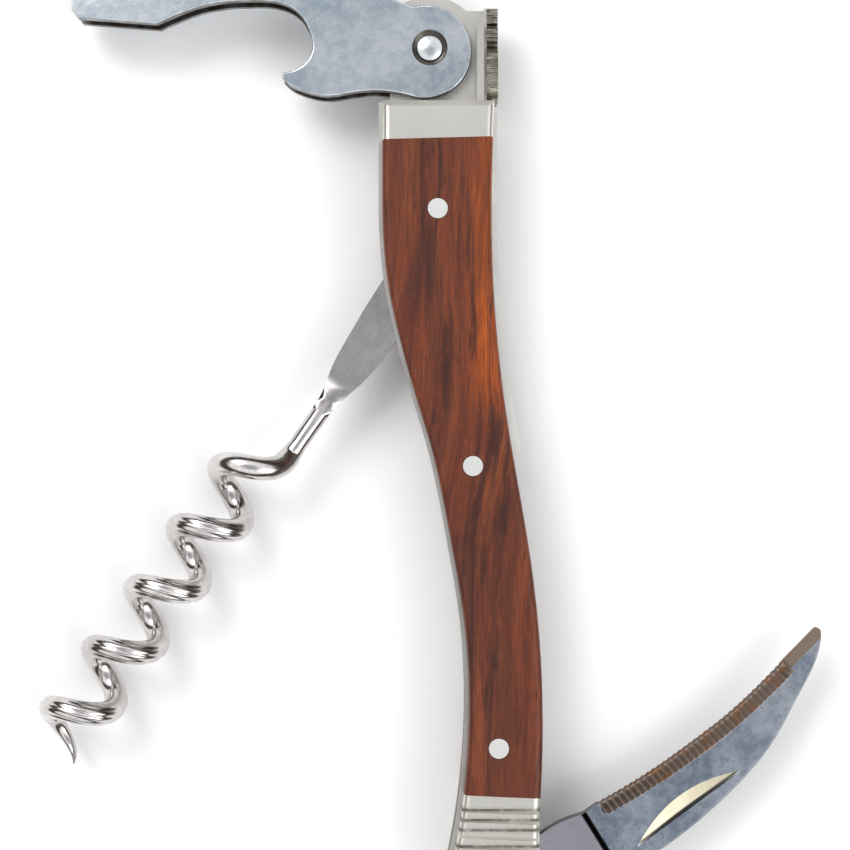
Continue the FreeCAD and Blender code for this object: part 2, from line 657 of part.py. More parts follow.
def nail_nick():
    """Coned wheel that cuts a nick with a straight wall towards the spine and a slope towards the edge."""
    rise = ((NICK_LENGTH / 2) ** 2 - NICK_DEPTH ** 2) / (2 * NICK_DEPTH)
    wheel = rise + NICK_DEPTH
    slope = NICK_DEPTH / NICK_WIDTH
    cone = Part.makeCone(wheel, wheel - slope * 2 * NICK_WIDTH, 2 * NICK_WIDTH, Vector(0, 0, 0),
                         Vector(0, 1, 0))
    cone.translate(Vector(NICK_LENGTH / 2, 0, rise))
    cone.rotate(Vector(0, 0, 0), Vector(0, 0, 1), NICK_SLOPE)
    cone.translate(Vector(NICK_START[0], NICK_START[1], BLADE))
    return cone


def shoulder_groove():
    """Slanting groove across the front face between the tang and the blade."""
    top = Vector(*SHOULDER_TOP, BLADE)
    foot = Vector(*SHOULDER_FOOT, BLADE)
    along = foot - top
    reach = along.Length / 2
    half = SHOULDER_GROOVE / 2
    bar = Part.makeBox(2 * half, 2 * half, along.Length + 2 * reach, Vector(-half, -half, -reach))
    bar.rotate(Vector(0, 0, 0), Vector(0, 0, 1), 45)
    bar.rotate(Vector(0, 0, 0), Vector(1, 0, 0), 90)
    bar.rotate(Vector(0, 0, 0), Vector(0, 0, 1), math.degrees(math.atan2(along.y, along.x)) + 90)
    bar.translate(top)
    return bar


def cutter_blade():
    blade = Part.Face(cutter_outline()).extrude(Vector(0, 0, 2 * BLADE))
    blade.translate(Vector(0, 0, -BLADE))
    hole = Part.makeCylinder(PIN_RADIUS + RUNNING_FIT, 2 * BLADE, Vector(0, 0, -BLADE))
    spine = [e for e in blade.Edges if e.Length > SPINE_BEVEL_FROM and e.BoundBox.ZLength < BLADE
             and e.BoundBox.YMin < -TANG_RADIUS - 1]
    blade = blade.makeChamfer(SPINE_BEVEL, spine)
    blade = blade.cut(hole)
    blade = blade.cut(tooth_cutters())
    blade = blade.cut(tip_bevel())
    blade = blade.cut(nail_nick())
    return blade.cut(shoulder_groove())


def cutter_washer():
    washer = rod(CUTTER_PIVOT, WASHER_RADIUS, BLADE + PLAY / 2, SLOT)
    return washer.cut(rod(CUTTER_PIVOT, PIN_RADIUS, BLADE, SLOT))


# ---------------------------------------------------------------- every piece

os.makedirs("parts", exist_ok=True)
blank = cover()
pairs = {
    "liner": liner(),
    "scale": scale(blank),
    "neck_bolster": neck_bolster(blank),
    "butt_bolster": butt_bolster(blank),
    "side_spacer": side_spacer(),
    "cutter_washer": cutter_washer(),
}
for name, piece in pairs.items():
    write("front_" + name, piece)
    write("rear_" + name, behind(piece))

write("centre_spacer", centre_spacer())
write("back_spring", back_spring())
write("head_block", head_block())
write("thumb_tab", thumb_tab())
head_pin_reach = (LINER_FACE + COVER_FACE) / 2
write("head_pin", rod(HEAD_PIN, HEAD_PIN_RADIUS, -head_pin_reach, head_pin_reach))
write("middle_pin", rod(MIDDLE_PIN, PIN_RADIUS, -COVER_FACE, COVER_FACE))
write("lower_pin", rod(LOWER_PIN, PIN_RADIUS, -COVER_FACE, COVER_FACE))
write("worm_pin", worm_pin())
write("worm_pin_sleeve", worm_pin_sleeve())
write("cutter_pin", rod(CUTTER_PIVOT, PIN_RADIUS, -COVER_FACE, COVER_FACE))
write("lever", placed(lever(), LEVER_PIVOT, 0))
write("lever_rivet", placed(lever_rivet(), LEVER_PIVOT, 0))
write("worm", placed(worm(), WORM_PIVOT, WORM_REST_ANGLE))
write("cutter_blade", placed(cutter_blade(), CUTTER_PIVOT, CUTTER_REST_ANGLE))
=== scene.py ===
"""Looks of a waiter's corkscrew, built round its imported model.

The frame is the model's: metres, X to the handle's back, Y towards the lever, Z up from the surface it
lies on. Every metal and wooden piece gets its own finish, and the worm is rebuilt with its drawn grooves.
Patterns and the worm's own sizes are in millimetres.
"""

import json
import logging
import math
from dataclasses import dataclass, field, replace
from enum import Enum
from typing import Any, Optional, Union

import bmesh
import bpy
from mathutils import Matrix, Vector


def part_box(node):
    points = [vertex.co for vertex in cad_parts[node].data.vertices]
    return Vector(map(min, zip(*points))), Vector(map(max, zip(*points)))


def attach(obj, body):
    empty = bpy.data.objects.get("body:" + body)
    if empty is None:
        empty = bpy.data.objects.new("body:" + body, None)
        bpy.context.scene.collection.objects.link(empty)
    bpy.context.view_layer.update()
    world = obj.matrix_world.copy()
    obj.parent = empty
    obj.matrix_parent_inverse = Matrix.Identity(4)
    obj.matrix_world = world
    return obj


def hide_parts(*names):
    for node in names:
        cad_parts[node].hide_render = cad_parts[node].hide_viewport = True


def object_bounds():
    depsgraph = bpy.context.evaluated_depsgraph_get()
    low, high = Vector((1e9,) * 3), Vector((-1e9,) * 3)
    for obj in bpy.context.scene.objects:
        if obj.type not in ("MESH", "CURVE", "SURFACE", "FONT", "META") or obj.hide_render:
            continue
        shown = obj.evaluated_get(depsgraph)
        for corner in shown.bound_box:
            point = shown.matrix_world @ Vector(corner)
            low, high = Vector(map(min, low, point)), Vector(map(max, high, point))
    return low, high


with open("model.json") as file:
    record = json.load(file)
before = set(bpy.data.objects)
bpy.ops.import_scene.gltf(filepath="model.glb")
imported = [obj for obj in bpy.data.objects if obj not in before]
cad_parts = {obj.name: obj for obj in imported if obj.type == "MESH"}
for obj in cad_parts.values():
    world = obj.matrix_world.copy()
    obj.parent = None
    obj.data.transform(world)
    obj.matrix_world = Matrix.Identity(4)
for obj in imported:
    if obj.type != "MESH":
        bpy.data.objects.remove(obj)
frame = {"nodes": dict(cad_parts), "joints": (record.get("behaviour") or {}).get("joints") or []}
CAD_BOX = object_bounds()

LOG = logging.getLogger("corkscrew")
MM = 0.001
MIX_FIRST, MIX_SECOND, MIX_RESULT = 6, 7, 2     # a Mix node's colour sockets

Colour = tuple[float, float, float, float]
Number = Union[int, float]
Socket = bpy.types.NodeSocket
Span = tuple[float, float]
Triple = tuple[float, float, float]


def linear(red: int, green: int, blue: int) -> Colour:
    """Linear colour of a display colour given from 0 to 255.

    Args:
        red, green, blue: the display colour.

    Returns:
        The same colour for a shader's socket.
    """
    def channel(value: int) -> float:
        """One channel from the display curve to linear light."""
        share = value / 255
        return share / 12.92 if share <= 0.04045 else ((share + 0.055) / 1.055) ** 2.4

    return channel(red), channel(green), channel(blue), 1.0


# ---------------------------------------------------------------- shader maths

@dataclass(frozen=True)
class Value:
    """A number that changes over a surface: one socket, with the operators of ordinary maths."""

    tree: bpy.types.NodeTree
    socket: Socket

    def combine(self, operation: str, *terms: Union["Value", Number]) -> "Value":
        """Adds a Math node.

        Args:
            operation: the node's operation.
            terms: its inputs, in order.

        Returns:
            The node's result.
        """
        maths = self.tree.nodes.new("ShaderNodeMath")
        maths.operation = operation
        for index, term in enumerate(terms):
            if isinstance(term, Value):
                self.tree.links.new(term.socket, maths.inputs[index])
            else:
                maths.inputs[index].default_value = term
        return Value(self.tree, maths.outputs[0])

    def __add__(self, other: Union["Value", Number]) -> "Value":
        """Sum."""
        return self.combine("ADD", self, other)

    __radd__ = __add__

    def __sub__(self, other: Union["Value", Number]) -> "Value":
        """Difference."""
        return self.combine("SUBTRACT", self, other)

    def __rsub__(self, other: Union["Value", Number]) -> "Value":
        """Difference from a number on the left."""
        return self.combine("SUBTRACT", other, self)

    def __mul__(self, other: Union["Value", Number]) -> "Value":
        """Product."""
        return self.combine("MULTIPLY", self, other)

    __rmul__ = __mul__

    def __truediv__(self, other: Union["Value", Number]) -> "Value":
        """Quotient."""
        return self.combine("DIVIDE", self, other)

    def __pow__(self, other: Union["Value", Number]) -> "Value":
        """Power."""
        return self.combine("POWER", self, other)

    def __abs__(self) -> "Value":
        """Size without the sign."""
        return self.combine("ABSOLUTE", self)

    def sine(self) -> "Value":
        """Sine of the value in radians."""
        return self.combine("SINE", self)

    def most(self, other: Union["Value", Number]) -> "Value":
        """The larger of two."""
        return self.combine("MAXIMUM", self, other)

    def least(self, other: Union["Value", Number]) -> "Value":
        """The smaller of two."""
        return self.combine("MINIMUM", self, other)

    def rise(self, low: Number, high: Number) -> "Value":
        """Smooth step from 0 at low to 1 at high.

        Args:
            low: where the step starts.
            high: where it ends, which may be below low for a falling step.

        Returns:
            The step, from 0 to 1.
        """
        step = self.tree.nodes.new("ShaderNodeMapRange")
        step.interpolation_type = "SMOOTHSTEP"
        flip = low > high
        step.inputs["From Min"].default_value = min(low, high)
        step.inputs["From Max"].default_value = max(low, high)
        step.inputs["To Min"].default_value = 1.0 if flip else 0.0
        step.inputs["To Max"].default_value = 0.0 if flip else 1.0
        self.tree.links.new(self.socket, step.inputs["Value"])
        return Value(self.tree, step.outputs["Result"])


@dataclass(frozen=True)
class Layer:
    """A random pattern.

    Attributes:
        scale: how often it repeats per millimetre along each axis.
        detail, roughness, distortion: the Noise node's numbers.
        shows: the pattern's values between which it fades in.
        strength: how strong it is where it shows.
    """

    scale: Triple
    detail: float = 2.0
    roughness: float = 0.5
    distortion: float = 0.0
    shows: Span = (0.0, 1.0)
    strength: float = 1.0


@dataclass(frozen=True)
class Spots:
    """Scattered spots.

    Attributes:
        scale: cells per millimetre along each axis.
        rim: distances, in cells, where a spot begins and is full.
        chance: the random numbers between which a cell's spot fades in.
        strength: how strong a whole spot is.
    """

    scale: Triple
    rim: Span
    chance: Span
    strength: float = 1.0


def even(scale: float) -> Triple:
    """The same scale along all three axes."""
    return scale, scale, scale


class Surface:
    """A material while it is put together, with its Principled shader."""

    def __init__(self, name: str) -> None:
        """Makes an empty material.

        Args:
            name: the material's name.
        """
        self.material = bpy.data.materials.new(name)
        self.material.use_nodes = True
        self.tree = self.material.node_tree
        self.shader = next(n for n in self.tree.nodes if n.type == "BSDF_PRINCIPLED")

    def node(self, kind: str, settings: Optional[dict[str, Any]] = None,
             sockets: Optional[dict[Union[str, int], Any]] = None) -> bpy.types.Node:
        """Adds any node.

        Args:
            kind: the node's type.
            settings: its properties, set first; "stops" fills a colour ramp.
            sockets: the values or links of its inputs.

        Returns:
            The node.
        """
        made = self.tree.nodes.new(kind)
        for key, value in (settings or {}).items():
            if key == "stops":
                self.fill_ramp(made.color_ramp, value)
            else:
                setattr(made, key, value)
        for key, value in (sockets or {}).items():
            self.feed(made.inputs[key], value)
        return made

    def feed(self, socket: Socket, value: Any) -> None:
        """Links a socket, or sets its value.

        Args:
            socket: the input.
            value: a Value, a socket or a constant.
        """
        if isinstance(value, Value):
            self.tree.links.new(value.socket, socket)
        elif isinstance(value, bpy.types.NodeSocket):
            self.tree.links.new(value, socket)
        else:
            socket.default_value = value

    @staticmethod
    def fill_ramp(ramp: bpy.types.ColorRamp, stops: tuple[tuple[float, Colour], ...]) -> None:
        """Sets a ramp's stops.

        Args:
            ramp: the ramp.
            stops: places and colours, in order.
        """
        while len(ramp.elements) < len(stops):
            ramp.elements.new(1.0)
        for element, (place, colour) in zip(ramp.elements, stops):
            element.position = place
            element.color = colour

    def coordinates(self, centre: Vector = Vector(), turn: float = 0.0) -> Socket:
        """Object coordinates in millimetres about a centre.

        Args:
            centre: the pattern's centre, in metres.
            turn: the pattern's turn about Z, in radians.

        Returns:
            The vector socket.
        """
        source = self.node("ShaderNodeTexCoord")
        mapping = self.node("ShaderNodeMapping", {"vector_type": "TEXTURE"}, {
            "Vector": source.outputs["Object"], "Location": centre,
            "Rotation": (0.0, 0.0, turn), "Scale": even(MM)})
        return mapping.outputs["Vector"]

    def stretched(self, vector: Socket, scale: Triple) -> Socket:
        """A vector multiplied axis by axis."""
        product = self.node("ShaderNodeVectorMath", {"operation": "MULTIPLY"}, {0: vector, 1: scale})
        return product.outputs["Vector"]

    def parts(self, vector: Socket) -> tuple[Value, Value, Value]:
        """The three numbers of a vector."""
        split = self.node("ShaderNodeSeparateXYZ", None, {"Vector": vector})
        return tuple(Value(self.tree, socket) for socket in split.outputs)

    def joined(self, x: Value, y: Value, z: Value) -> Socket:
        """A vector of three numbers."""
        return self.node("ShaderNodeCombineXYZ", None, {0: x, 1: y, 2: z}).outputs["Vector"]

    def noise(self, vector: Socket, layer: Layer) -> Value:
        """Soft random pattern from 0 to 1, uncut.

        Args:
            vector: where it is read.
            layer: its scale and detail.

        Returns:
            The pattern.
        """
        texture = self.node("ShaderNodeTexNoise", None, {
            "Vector": self.stretched(vector, layer.scale), "Scale": 1.0, "Detail": layer.detail,
            "Roughness": layer.roughness, "Distortion": layer.distortion})
        return Value(self.tree, texture.outputs["Fac"])

    def veil(self, vector: Socket, layer: Layer) -> Value:
        """A layer's pattern cut to where it shows, at its strength."""
        return self.noise(vector, layer).rise(*layer.shows) * layer.strength

    def scatter(self, vector: Socket, spots: Spots) -> Value:
        """Soft spots at scattered points.

        Args:
            vector: where they are read.
            spots: their spacing, rim and chance.

        Returns:
            The spots, from 0 to their strength.
        """
        texture = self.node("ShaderNodeTexVoronoi", {"feature": "F1"}, {
            "Vector": self.stretched(vector, spots.scale), "Scale": 1.0})
        red = self.node("ShaderNodeSeparateColor", None, {"Color": texture.outputs["Color"]}).outputs[0]
        distance = Value(self.tree, texture.outputs["Distance"])
        return distance.rise(*spots.rim) * Value(self.tree, red).rise(*spots.chance) * spots.strength

    def ramp(self, value: Value, stops: tuple[tuple[float, Colour], ...]) -> Socket:
        """Colours a number."""
        return self.node("ShaderNodeValToRGB", {"stops": stops}, {"Fac": value}).outputs["Color"]

    def layered(self, base: Any, *layers: tuple[Value, Any]) -> Socket:
        """Lays colours over a base.

        Args:
            base: the lowest colour, or its socket.
            layers: each layer's share and its colour or socket, from the lowest up.

        Returns:
            The colour.
        """
        for share, colour in layers:
            mixed = self.node("ShaderNodeMix", {"data_type": "RGBA", "clamp_factor": True}, {
                "Factor": share, MIX_FIRST: base, MIX_SECOND: colour})
            base = mixed.outputs[MIX_RESULT]
        return base

    def bump(self, height: Value, depth: float, strength: float) -> None:
        """Raises the surface by a pattern.

        Args:
            height: the pattern.
            depth: height of a whole unit of it, in metres.
            strength: how much of the tilt is used.
        """
        node = self.node("ShaderNodeBump", None, {
            "Height": height, "Distance": depth, "Strength": strength})
        self.feed(self.shader.inputs["Normal"], node.outputs["Normal"])

    def dress(self, colour: Any, roughness: Any, metallic: float = 0.0, **constants: float) -> None:
        """Fills the Principled shader.

        Args:
            colour: base colour or its socket.
            roughness: roughness or its Value.
            metallic: 1 for metal.
            constants: other sockets by name, with _ for a space.
        """
        self.feed(self.shader.inputs["Base Color"], colour)
        self.feed(self.shader.inputs["Roughness"], roughness)
        self.shader.inputs["Metallic"].default_value = metallic
        for key, value in constants.items():
            self.shader.inputs[key.replace("_", " ")].default_value = value


# ---------------------------------------------------------------- wood

@dataclass(frozen=True)
class Rosewood:
    """Oiled rosewood: red-brown, dark smoky streaks, fine grain, open pores and an amber sapwood side.

    Attributes:
        centre, turn: where the grain is centred, in metres, and how it is turned about Z.
        sapwood: how strongly the sapwood side shows.
        pins, pin_radius: where pins come through, and their radius.
        sway: how the grain wanders sideways; its strength is in millimetres.
        depth_scale: how fast the figure changes with depth, against its width.
        figure_stops: the figure's values for the deep, heart and light colours.
        sap_across, sap_along: where the sapwood side begins and is full.
        shade_ring_reach: outer and inner edge of the ring of painted shade round a pin, beyond the pin.
    """

    name: str
    centre: Vector
    turn: float = 0.0
    sapwood: float = 1.0
    pins: tuple[Span, ...] = ()
    pin_radius: float = 1.25

    heart: Colour = linear(112, 52, 28)
    deep: Colour = linear(76, 32, 20)
    light: Colour = linear(138, 70, 34)
    smoke: Colour = linear(42, 24, 22)
    amber: Colour = linear(196, 92, 10)
    # dark tone of the pores, also laid as painted shade round the pins
    pore_and_pin_shade_tone: Colour = linear(40, 16, 10)

    sway: Layer = Layer((0.05, 0.03, 0.05), 1.0, strength=5.0)
    depth_scale: float = 0.6
    figure: Layer = Layer((0.42, 0.035, 0.42), 4.0, 0.6, 0.4)
    figure_stops: Triple = (0.30, 0.50, 0.72)
    sap_across: Span = (-1.0, 3.5)
    sap_along: Span = (4.0, 14.0)
    sap_streaks: Layer = Layer((0.5, 0.05, 0.5), 3.0, shows=(0.30, 0.56), strength=0.9)
    broad: Layer = Layer((0.22, 0.03, 0.22), shows=(0.52, 0.66), strength=0.45)
    smoky: Layer = Layer((0.62, 0.05, 0.62), 5.0, 0.62, 0.5, (0.50, 0.68))
    smoke_share: float = 0.85
    fine: Layer = Layer((8.0, 0.32, 8.0), shows=(0.34, 0.66), strength=0.5)
    thread: Layer = Layer((3.2, 0.10, 3.2), 3.0, 0.6, shows=(0.54, 0.66), strength=0.4)
    gleam: Layer = Layer((1.6, 0.5, 1.6), 3.0, shows=(0.52, 0.8), strength=0.3)
    long_pores: Spots = Spots((2.1, 0.17, 2.1), (0.19, 0.07), (0.50, 0.54))
    short_pores: Spots = Spots((3.4, 0.42, 3.4), (0.17, 0.05), (0.68, 0.72), 0.85)
    pore_share: float = 0.85
    shade_ring_reach: Span = (0.16, 0.02)
    shade_ring_share: float = 0.8

    roughness: float = 0.40
    fine_roughness: float = 0.12
    pore_roughness: float = 0.25
    smoke_gloss: float = 0.06
    specular: float = 0.3
    coat: float = 0.06
    coat_roughness: float = 0.2
    fine_height: float = 0.25
    figure_height: float = 0.2
    bump_depth: float = 0.05
    bump_strength: float = 0.55

    def material(self) -> bpy.types.Material:
        """Builds the wood.

        Returns:
            The material.
        """
        wood = Surface(self.name)
        place = wood.coordinates(self.centre, self.turn)
        x, y, z = wood.parts(place)
        sway = (wood.noise(place, self.sway) - 0.5) * self.sway.strength
        grain = wood.joined(x + sway, y, z * self.depth_scale)
        figure = wood.noise(grain, self.figure)
        sap = x.rise(*self.sap_across) * y.rise(*self.sap_along) * self.sapwood
        smoke = wood.veil(grain, self.smoky)
        fine = wood.noise(grain, self.fine)
        pores = wood.scatter(grain, self.long_pores).most(wood.scatter(grain, self.short_pores))
        # painted shade: a thin dark ring where each pin meets the wood, which also sinks the surface a
        # little
        rim = self.pin_shade_rings(wood) * self.shade_ring_share
        body = wood.ramp(figure, tuple(zip(self.figure_stops, (self.deep, self.heart, self.light))))
        body = wood.layered(
            body,
            (sap * wood.veil(grain, self.sap_streaks), self.amber),
            (wood.veil(grain, self.broad), self.smoke),
            (smoke * self.smoke_share, self.smoke),
            (fine.rise(*self.fine.shows) * self.fine.strength, self.deep),
            (wood.veil(grain, self.thread), self.smoke),
            (wood.veil(grain, self.gleam), self.light),
            (pores * self.pore_share, self.pore_and_pin_shade_tone),
            # painted shade round the pins
            (rim, self.pore_and_pin_shade_tone))
        rough = (self.roughness + self.fine_roughness * fine + self.pore_roughness * pores
                 - self.smoke_gloss * smoke)
        wood.dress(body, rough, 0.0, Specular_IOR_Level=self.specular, Coat_Roughness=self.coat_roughness,
                   Coat_Weight=self.coat)
        height = fine * self.fine_height + figure * self.figure_height - pores - rim
        wood.bump(height, self.bump_depth * MM, self.bump_strength)
        return wood.material

    def pin_shade_rings(self, wood: Surface) -> Value:
        """Thin dark ring of painted shade in the crease round each pin.

        Args:
            wood: the surface.

        Returns:
            The rings, from 0 to 1.
        """
        outside, inside = (self.pin_radius + reach for reach in self.shade_ring_reach)
        x, y, _ = wood.parts(wood.coordinates())
        rims = x * 0.0
        for across, along in self.pins:
            reach = ((x - across) ** 2.0 + (y - along) ** 2.0) ** 0.5
            rims = rims.most(reach.rise(outside, inside))
        return rims


# ---------------------------------------------------------------- metals

CLOUD = Layer(even(1.0), 5.0, 0.7, shows=(0.36, 0.66), strength=0.6)
BROAD = Layer(even(0.12), shows=(0.35, 0.65), strength=0.5)
GRIT = Layer(even(3.6), 3.0, 0.6, shows=(0.50, 0.72), strength=0.3)
BRUSHED = Layer(even(1.0), 3.0, 0.6, shows=(0.3, 0.75))
HAIR = Layer(even(1.0), 1.0)
HAIR_RATIO = 3.1
HAIR_HEIGHT = 0.4
GRIT_ROUGHNESS = 0.05
METAL_BUMP = 0.8


@dataclass(frozen=True)
class Face:
    """A metal face's patterns, for more to be laid on before it is dressed."""

    metal: Surface
    place: Socket
    colour: Socket
    rough: Value
    height: Value

    def finish(self, colour: Any, rough: Value, height: Value) -> bpy.types.Material:
        """Dresses the face.

        Args:
            colour: its colour socket.
            rough: its roughness.
            height: its height, in millimetres.

        Returns:
            The material.
        """
        self.metal.dress(colour, rough, 1.0)
        self.metal.bump(height, MM, METAL_BUMP)
        return self.metal.material


@dataclass(frozen=True)
class Metal:
    """A metal with a rolled, brushed or polished face.

    Attributes:
        colour, shade: the clean and the dull tone.
        roughness, spread: the lowest roughness, and how much each pattern adds.
        brushed: brushed lines per millimetre along each axis.
        turn, centre: the patterns' turn about Z and their centre, in metres.
        mottle, mottle_size: strength and size of the dull clouds.
        scratch: how much the brushed lines dull the tone.
        bump_depth, ripple: height of the brushed lines and of the clouds.
    """

    name: str
    colour: Colour
    shade: Colour
    roughness: float
    spread: float = 0.08
    brushed: Triple = (9.0, 0.6, 9.0)
    turn: float = 0.0
    centre: Vector = Vector()
    mottle: float = 0.4
    mottle_size: float = 2.2
    scratch: float = 0.25
    bump_depth: float = 0.004
    ripple: float = 0.01

    def patterns(self) -> Face:
        """Builds the metal's patterns.

        Returns:
            The face, not dressed yet.
        """
        metal = Surface(self.name)
        place = metal.coordinates(self.centre, self.turn)
        cloud = metal.noise(place, replace(CLOUD, scale=even(1 / self.mottle_size)))
        lines = metal.noise(place, replace(BRUSHED, scale=self.brushed))
        hair = metal.noise(place, replace(HAIR, scale=tuple(HAIR_RATIO * share for share in self.brushed)))
        grit = metal.noise(place, GRIT)
        tone = (cloud.rise(*CLOUD.shows) * (self.mottle * CLOUD.strength)
                + metal.veil(place, BROAD) * self.mottle
                + lines.rise(*BRUSHED.shows) * self.scratch
                + grit.rise(*GRIT.shows) * (self.mottle * GRIT.strength)).least(1.0)
        rough = self.roughness + self.spread * cloud + self.spread * lines + GRIT_ROUGHNESS * grit
        height = (lines * (1 - HAIR_HEIGHT) + hair * HAIR_HEIGHT) * self.bump_depth + cloud * self.ripple
        return Face(metal, place, metal.layered(self.colour, (tone, self.shade)), rough, height)

    def material(self) -> bpy.types.Material:
        """Builds the plain metal."""
        face = self.patterns()
        return face.finish(face.colour, face.rough, face.height)


@dataclass(frozen=True)
class GrimeAndShadeMetal(Metal):
    """A metal with dark soiling and painted shade in the grooves across it, and painted shade on the
    rounded edges beside them.

    Attributes:
        grooves, groove_width: places of the grooves along Y, and their width.
        core, smear: where a groove's soiling and painted shade begins and is full, and where the painted
            shade of the pads' rounded edges begins and is full, in groove widths.
        patchy: how the soiling and the painted shade come and go.
    """

    grooves: tuple[float, ...] = ()
    groove_width: float = 0.5
    grime_and_shade_tone: Colour = linear(70, 62, 52)
    core: Span = (0.75, 0.3)
    edge_rounding_shade: Span = (1.7, 0.4)
    edge_rounding_shade_share: float = 0.4
    patchy: Layer = Layer(even(0.9), 3.0, shows=(0.25, 0.6), strength=0.45)
    grime_and_shade_share: float = 0.8
    grime_roughness: float = 0.25

    def material(self) -> bpy.types.Material:
        """Builds the metal with its soiling and painted shade.

        Returns:
            The material.
        """
        face = self.patterns()
        metal = face.metal
        core, edge_rounding_shade = (tuple(self.groove_width * share for share in reach)
                       for reach in (self.core, self.edge_rounding_shade))
        _, y, _ = metal.parts(face.place)
        grime_and_shade = y * 0.0
        # soiling with painted shade in each groove's core, and a softer painted shade over the pads'
        # rounded edges beside it
        for along in self.grooves:
            reach = abs(y - along)
            grime_and_shade = grime_and_shade.most(reach.rise(*core)).most(reach.rise(*edge_rounding_shade) * self.edge_rounding_shade_share)
        grime_and_shade = grime_and_shade * (metal.veil(metal.coordinates(), self.patchy) + (1 - self.patchy.strength))
        colour = metal.layered(face.colour, (grime_and_shade * self.grime_and_shade_share, self.grime_and_shade_tone))
        return face.finish(colour, face.rough + self.grime_roughness * grime_and_shade, face.height)


@dataclass(frozen=True)
class LeverSteel(Metal):
    """Polished sheet with painted shade on its cut edges, and a dark ring round the rivet.

    Attributes:
        ring, ring_softness: inner and outer radius of the ring, and how soft each edge is.
        face_height: height of the outer face over the lever's middle.
        edge_shade_start: how far under the face the painted shade of the edges begins and is full.
        patch: how the painted shade of the edges comes and goes.
    """

    ring: Span = (1.62, 2.32)
    ring_softness: Span = (0.1, 0.12)
    ring_share: float = 0.85
    face_height: float = 2.5
    edge_shade_start: Span = (0.05, 0.16)
    edge_shade_share: float = 0.55
    patch: Layer = Layer(even(0.5), 3.0, shows=(0.3, 0.62), strength=0.4)
    edge_shade_and_ring_tone: Colour = linear(92, 80, 66)
    edge_shade_and_ring_roughness: float = 0.12

    def material(self) -> bpy.types.Material:
        """Builds the lever's sheet metal.

        Returns:
            The material.
        """
        face = self.patterns()
        sheet = face.metal
        x, y, z = sheet.parts(face.place)
        reach = (x ** 2.0 + y ** 2.0) ** 0.5
        inner, outer = self.ring
        inner_softness, outer_softness = self.ring_softness
        # a plain dark ring round the rivet
        ring = reach.rise(outer, outer - outer_softness) * reach.rise(inner - inner_softness, inner)
        # painted shade on the sheet's cut edges, below its outer face
        edges = abs(z).rise(*(self.face_height - start for start in self.edge_shade_start))
        # both darkenings together: the ring round the rivet and the painted shade of the edges
        dull = (ring * self.ring_share).most(edges * (self.edge_shade_share + sheet.veil(face.place, self.patch)))
        colour = sheet.layered(face.colour, (dull, self.edge_shade_and_ring_tone))
        return face.finish(colour, face.rough + self.edge_shade_and_ring_roughness * dull, face.height)


